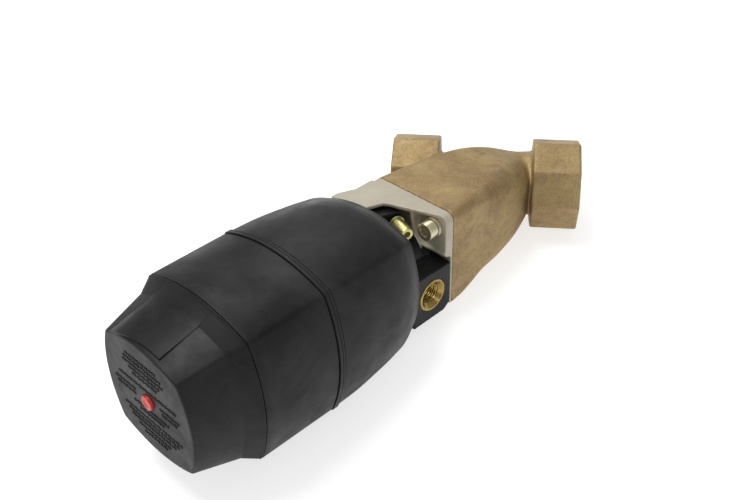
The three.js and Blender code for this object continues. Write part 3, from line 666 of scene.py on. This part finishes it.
def shell(name, loop):
    """A closed shell from a loop of rows: (z, corner, side) or (z, radius)."""
    angle = np.arange(AROUND) * 2 * math.pi / AROUND
    rings = []
    for z, *size in loop:
        radius = size[0] if len(size) == 1 else bowed_radius(*size, angle)
        rings.append(circle(radius, z, AROUND))
    faces = skin_faces(len(rings), AROUND, closed=True)
    return new_object(name, np.concatenate(rings), faces, STEM, RIDGE_ANGLE)


def finish_shell(obj, node):
    return finish_piece(obj, FIXED, "black_plastic", MATERIAL["black_plastic"], node)


def lower_housing():
    corners = [(z, corner) for z, corner, _ in HOUSING_OUTSIDE]
    sides = [(z, side) for z, _, side in HOUSING_OUTSIDE]
    low, middle, high = HOUSING_LEVELS
    levels = np.concatenate([np.linspace(low, middle, 14), np.linspace(middle + 1.5, high, 30)])
    wall = [(z, float(eased(z, corners)), float(eased(z, sides))) for z in levels]
    loop = [HOUSING_START] + wall + HOUSING_BAND + HOUSING_BORE
    return finish_shell(shell("lower_housing_shell", loop), "lower_housing")


def barrel_row(z):
    up = z - BARREL["start"]
    corner = BARREL["corner"] - BARREL["corner_taper"] * up / BARREL["length"]
    side = BARREL["side"] - BARREL["side_taper"] * up / BARREL["length"]
    return z, corner, side


def spring_barrel():
    wall = [barrel_row(z) for z in np.linspace(*BARREL_LEVELS, 12)]
    loop = BARREL_FOOT + wall + BARREL_RIM + BARREL_BORE
    return finish_shell(shell("spring_barrel_shell", loop), "spring_barrel")


def pad_point(u, v):
    """Point of the pad's outside: u goes from its left to its right end, v from its foot to its edge."""
    slant = PAD["end"] * v + PAD["start"] * (1 - v)
    corner = PAD_CORNER["size"] - PAD_CORNER["fall"] * (slant - CAP["ridge"])
    x = PAD["left"] * corner * (1 - u) + PAD["right"] * u
    bend = PAD_EDGE["bend"] * max(0.0, (PAD_EDGE["x"] - x) / PAD_EDGE["width"]) ** PAD_EDGE["power"]
    edge = min(PAD["end"] + bend, CAP["end"] - PAD_EDGE["margin"])
    z = PAD["start"] * (1 - v) + edge * v
    foot = CAP_FOOT["side"] - CAP_FOOT["side_fall"] * (z - CAP["bottom"]) / (CAP["ridge"] - CAP["bottom"])
    share = (z - CAP["ridge"]) / (PAD["end"] - CAP["ridge"])
    slope = PAD["ridge"] + (PAD["top"] - PAD["ridge"]) * share
    side = (foot + slope + math.hypot(foot - slope, PAD["rounding"])) / 2 - INSET - PAD["lower"]
    arc = PAD["bow"] * side
    sunk = max(0.0, (PAD["full"] * corner - x) / ((PAD["full"] - PAD["left"]) * corner)) ** 2
    return x, side - arc + math.sqrt(arc * arc - x * x) - PAD["sink"] * sunk, z


def cap_pad():
    """The pad on the upper side of the cap: it rounds off the ridge, and sinks in at its left end."""
    columns, rows = 60, 50
    points = [pad_point(u, v) for u in np.linspace(0, 1, columns) for v in np.linspace(0, 1, rows)]
    top = len(points)
    points += [(x, PAD["foot"], z) for x, y, z in points]

    def at(i, j, below=0):
        return i * rows + j + below * top

    faces = []
    for i in range(columns - 1):
        for j in range(rows - 1):
            faces.append((at(i, j), at(i, j + 1), at(i + 1, j + 1), at(i + 1, j)))
            faces.append((at(i, j, 1), at(i + 1, j, 1), at(i + 1, j + 1, 1), at(i, j + 1, 1)))
        last = rows - 1
        faces.append((at(i, 0), at(i + 1, 0), at(i + 1, 0, 1), at(i, 0, 1)))
        faces.append((at(i, last), at(i, last, 1), at(i + 1, last, 1), at(i + 1, last)))
    for j in range(rows - 1):
        last = columns - 1
        faces.append((at(0, j), at(0, j, 1), at(0, j + 1, 1), at(0, j + 1)))
        faces.append((at(last, j), at(last, j + 1), at(last, j + 1, 1), at(last, j, 1)))
    return new_object("cap_pad", points, faces, STEM, RIDGE_ANGLE)


def cap_row(z, share, part):
    return (z, part["corner"] - part["corner_fall"] * share, part["side"] - part["side_fall"] * share)


def end_cap():
    bottom, ridge, end = CAP["bottom"], CAP["ridge"], CAP["end"]
    outside = [(bottom, 51.1, 44.0), (bottom + 0.15, 51.5, 44.4), (bottom + 0.5, 51.5, 44.45)]
    for z in np.linspace(bottom + 1.2, ridge - 0.5, 9):
        outside.append(cap_row(z, (z - bottom) / (ridge - bottom), CAP_FOOT))
    outside.append((ridge, 45.66, 39.36))
    slope_end = end - 0.6
    for z in np.linspace(ridge + 0.5, slope_end, 24):
        outside.append(cap_row(z, (z - ridge) / (slope_end - ridge), CAP_TOP))
    outside += [(end - 0.25, 38.8, 33.4), (end, 38.3, 32.9), (end, 37.2, 31.9)]
    cap = shell("end_cap_shell", outside + CAP_BORE)
    pad = combine(cap_pad(), turned("cap_room", CAP_ROOM, 96), smooth=RIDGE_ANGLE)
    combine(cap, pad, "UNION", RIDGE_ANGLE)
    return finish_shell(cap, "end_cap")


def boxes(name, rows, place, taper=0.12):
    """Small bars with sloping sides: rows of (x0, x1, y0, y1, z0, z1)."""
    points, faces = [], []
    for x0, x1, y0, y1, z0, z1 in rows:
        base = len(points)
        points += [(x0, y0, z0), (x1, y0, z0), (x1, y1, z0), (x0, y1, z0)]
        x0, x1, y0, y1 = x0 + taper, x1 - taper, y0 + taper, y1 - taper
        points += [(x0, y0, z1), (x1, y0, z1), (x1, y1, z1), (x0, y1, z1)]
        quads = [(0, 3, 2, 1), (4, 5, 6, 7), (0, 1, 5, 4), (1, 2, 6, 5), (2, 3, 7, 6), (3, 0, 4, 7)]
        faces += [tuple(base + i for i in q) for q in quads]
    return new_object(name, points, faces, place, 30)


BAR = dict(half=0.75, gap=0.8, lengths=(1.3, 4.2), least=1.0, foot=0.3, top=0.32)
BAR_ROWS = [(23.2, -13, 11), (20.4, -15, 14), (17.6, -16, 15), (14.8, -12, 13), (12, -10, 9), (6.6, -22, 22),
            (1.6, -26, -9), (-1.4, -25, -9), (1.6, 9, 25), (-1.4, 10, 22), (-6.4, -13, 14), (-9.2, -9, 10),
            (-13.2, -22, 23), (-16, -20, 20), (-18.8, -18, 17), (-22, -13, 13), (-24.8, -9, 9)]


def cap_bars():
    """Rows of plain raised bars on the end face. Each row is (y, left, right)."""
    draw = random.Random(7)
    bars = []
    for y, x, right in BAR_ROWS:
        while x < right - BAR["least"]:
            length = min(draw.uniform(*BAR["lengths"]), right - x)
            sides = (y - BAR["half"], y + BAR["half"])
            bars.append((x, x + length, *sides, CAP["end"] - BAR["foot"], CAP["end"] + BAR["top"]))
            x += length + BAR["gap"]
    # The bars are drawn in the darker plastic of painted shade.
    return finish_piece(boxes("cap_face_bars", bars, STEM), FIXED, "black_plastic", painted_shade_bar_plastic)


INDICATOR_PROFILE = [(0, 163.3), (3.9, 163.3), (4, 163.6), (4, 258.3), (3.9, 258.7), (3.6, 258.95),
                     (2.2, 258.95), (2.0, 258.75), (0, 258.75)]


def indicator():
    obj = turned("indicator_button", INDICATOR_PROFILE, 48)
    return finish_piece(obj, MOVING, "red_plastic", MATERIAL["red_plastic"], "indicator_rod")


# ---- screws and port ----------------------------------------------------------------------
# Head and shank are radii, z0 and z1 the head's seat and top; flats and depth belong to the socket.
BODY_SCREW = dict(head=5.1, z0=87.6, z1=93.6, flats=5, depth=3.2, shank=2.9, tip=62)
COVERED_SCREW = dict(BODY_SCREW, z0=80.8, z1=84.0, depth=2)
BODY_WASHER = dict(inner=3.3, outer=5.7, z0=85.3, z1=87.3)
CLAMP = dict(x=1.2, y=18.3, z=94.6, tilt=math.radians(20))
CLAMP_SCREW = dict(head=3.8, z0=1.7, z1=13, flats=3.5, depth=3.5, shank=1.9, tip=-15.5)
CLAMP_WASHER = dict(inner=2.3, outer=4.6, z0=0.4, z1=1.4)


def cap_screw(name, node, size, place, material):
    """A screw with a round head and a hexagon socket that has a chamfered mouth."""
    head, shank, z0, z1 = size["head"], size["shank"], size["z0"], size["z1"]
    rim, socket = z1 - 0.3, size["flats"] / 2
    profile = [(0, size["tip"]), (shank, size["tip"]), (shank, z0), (head - 0.25, z0), (head, z0 + 0.25),
               (head, z1 - 0.5), (head - 0.15, z1 - 0.15), (head - 0.5, z1), (0, z1)]
    mouth = [(0, rim), (socket, rim), (socket + 0.75, z1 + 0.4), (0, z1 + 0.4)]
    obj = turned(name, profile, 72, place)
    combine(obj, prism("socket", hexagon(size["flats"]), z1 - size["depth"], z1 + 1, place))
    combine(obj, turned("socket_mouth", mouth, 72, place))
    return finish_piece(obj, FIXED, "zinc_plate", material, node)


def washer(name, node, place, material, inner, outer, z0, z1):
    profile = [(inner, z0), (outer - 0.3, z0), (outer, z0 + 0.3), (outer, z1 - 0.35), (outer - 0.35, z1),
               (inner + 0.2, z1), (inner, z1 - 0.2)]
    return finish_piece(turned(name, profile, 72, place), FIXED, "zinc_plate", material, node)


def body_screws():
    zinc = MATERIAL["zinc_plate"]
    for i, (x, y) in enumerate([(1, 1), (-1, 1), (-1, -1), (1, -1)], 1):
        covered = x > 0 > y
        size = COVERED_SCREW if covered else BODY_SCREW
        place = placed(x * SCREW_OFFSET, y * SCREW_OFFSET, 0, Matrix.Rotation(0.25 * i, 4, "Z"))
        cap_screw(f"socket_screw_{i}", f"body_screw_{i}", size, place, zinc)
        if not covered:
            washer(f"screw_washer_{i}", f"body_screw_collar_{i}", place, zinc, **BODY_WASHER)


def clamp_screw():
    turn = Matrix.Rotation(math.pi / 2 - CLAMP["tilt"], 4, "Y")
    place = placed(CLAMP["x"], CLAMP["y"], CLAMP["z"], turn)
    cap_screw("clamp_screw", "block_clamp_screw", CLAMP_SCREW, place, yellow_zinc)
    washer("clamp_washer", "block_clamp_washer", place, yellow_zinc, **CLAMP_WASHER)


def port_insert():
    inner, front, radius = INSERT["inner"], INSERT["front"], INSERT["radius"]
    place = placed(0, INSERT["y"], INSERT["z"], Matrix.Rotation(math.pi / 2, 4, "Y"))
    profile = [(0, inner), (radius, inner), (radius, front - 0.3), (radius - 0.3, front), (0, front)]
    obj = turned("port_insert_brass", profile, 96, place)
    mouth = place @ Matrix.Translation((0, 0, front))
    combine(obj, thread_tool("port_thread", mouth, **PORT_THREAD))
    return finish_piece(obj, FIXED, "turned_brass", MATERIAL["turned_brass"], "port_insert")


# ---- springs --------------------------------------------------------------------------------
SPRING_SPAN = (149.3, 251.2)
COILS = dict(outer_spring=dict(name="outer_coil", radius=26.4, wire=2.5, turns=6),
             inner_spring=dict(name="inner_coil", radius=17, wire=1.7, turns=7))
END_GAP = 1.2                           # from the span's end to the wire's middle, in wire radii
CLOSING = 0.75                          # how far the end coils close up


def coil(node, name, radius, wire, turns, steps=40, sides=12):
    """A helical spring whose end coils close up."""
    bottom, top = SPRING_SPAN
    count = turns * steps
    u = np.linspace(0, 1, count + 1)
    a = 2 * math.pi * turns * u
    first, last = bottom + wire * END_GAP, top - wire * END_GAP
    rise = u - np.sin(2 * math.pi * u) / (2 * math.pi) * CLOSING
    centre = np.stack([radius * np.cos(a), radius * np.sin(a), first + (last - first) * rise], 1)
    ring = np.arange(sides) * 2 * math.pi / sides
    out = np.stack([np.cos(a), np.sin(a), np.zeros_like(a)], 1)[:, None, :]
    up = np.array([0, 0, 1.0])
    section = np.cos(ring)[None, :, None] * out + np.sin(ring)[None, :, None] * up
    points = centre[:, None, :] + wire * section
    faces = [f[::-1] for f in skin_faces(count + 1, sides)]
    total = (count + 1) * sides
    faces += [tuple(range(sides)), tuple(range(total - sides, total))[::-1]]
    obj = new_object(name, points.reshape(-1, 3), faces)
    finish_piece(obj, FIXED, "spring_steel", MATERIAL["spring_steel"], node)
    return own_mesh(obj)


# ---- assembly ---------------------------------------------------------------------------------
valve_body()
recast("yoke", "yoke_casting", "beige_casting", 0.45, 5)
recast("port_block", "port_block_moulding", "black_plastic", 0.4, 3)
lower_housing()
spring_barrel()
end_cap()
cap_bars()
indicator()
body_screws()
clamp_screw()
port_insert()
for spring, size in COILS.items():
    coil(spring, **size)


# ---- floor, light and camera ------------------------------------------------------------------
LIGHTS = dict(key=dict(place=(-0.35, 0.1, 1.1), target=(0, 0, 0.04), size=0.5, power=7),
              back=dict(place=(-0.1, 0.75, 0.8), target=(0, 0, 0.04), size=0.6, power=2.5),
              side=dict(place=(0.75, -0.7, 0.5), target=(0.05, 0.08, 0.03), size=0.25, power=1.2))
WORLD_STRENGTH = 0.46
# The camera's place and directions are in the stem frame.
CAMERA = dict(lens=48.717, place=(314.31, 328.37, 416.83), right=(0.7098, -0.02175, -0.70407),
              back=(0.5778, 0.58969, 0.56428))


def stage_floor():
    size = 4.0
    corners = [(-size, -size, 0), (size, -size, 0), (size, size, 0), (-size, size, 0)]
    mesh = bpy.data.meshes.new("floor")
    mesh.from_pydata(corners, [], [(0, 1, 2, 3)])
    floor = bpy.data.objects.new("floor", mesh)
    bpy.context.scene.collection.objects.link(floor)
    paint = Paint("floor", 0.9)
    paint.shader.inputs["Base Color"].default_value = (0.6, 0.6, 0.6, 1)
    paint.shader.inputs["Emission Color"].default_value = (1, 1, 1, 1)
    paint.shader.inputs["Emission Strength"].default_value = 0.66
    mesh.materials.append(paint.material)


def area_light(name, place, target, size, power):
    light = bpy.data.lights.new(name, "AREA")
    light.shape = "DISK"
    light.size = size
    light.energy = power
    obj = bpy.data.objects.new(name, light)
    bpy.context.scene.collection.objects.link(obj)
    obj.location = place
    obj.rotation_euler = (Vector(target) - Vector(place)).to_track_quat("-Z", "Y").to_euler()


def world_light(strength):
    world = bpy.data.worlds.new("studio")
    bpy.context.scene.world = world
    world.use_nodes = True
    background = world.node_tree.nodes["Background"]
    background.inputs["Color"].default_value = (1, 1, 1, 1)
    background.inputs["Strength"].default_value = strength


def add_camera():
    """The camera stands in front of the actuator's cap, above it and to the air port's side."""
    data = bpy.data.cameras.new("camera")
    data.lens = CAMERA["lens"]
    data.sensor_width = 36
    data.clip_start = 0.01
    camera = bpy.data.objects.new("camera", data)
    bpy.context.scene.collection.objects.link(camera)
    to_world = STEM.to_3x3()
    right = (to_world @ Vector(CAMERA["right"])).normalized()
    back = (to_world @ Vector(CAMERA["back"])).normalized()
    up = back.cross(right).normalized()
    right = up.cross(back)
    turn = Matrix((right, up, back)).transposed().to_4x4()
    camera.matrix_world = Matrix.Translation(STEM @ Vector(CAMERA["place"])) @ turn
    bpy.context.scene.camera = camera


stage_floor()
world_light(WORLD_STRENGTH)
for name, light in LIGHTS.items():
    area_light(name, **light)
add_camera()
bpy.context.scene.view_settings.view_transform = "Standard"
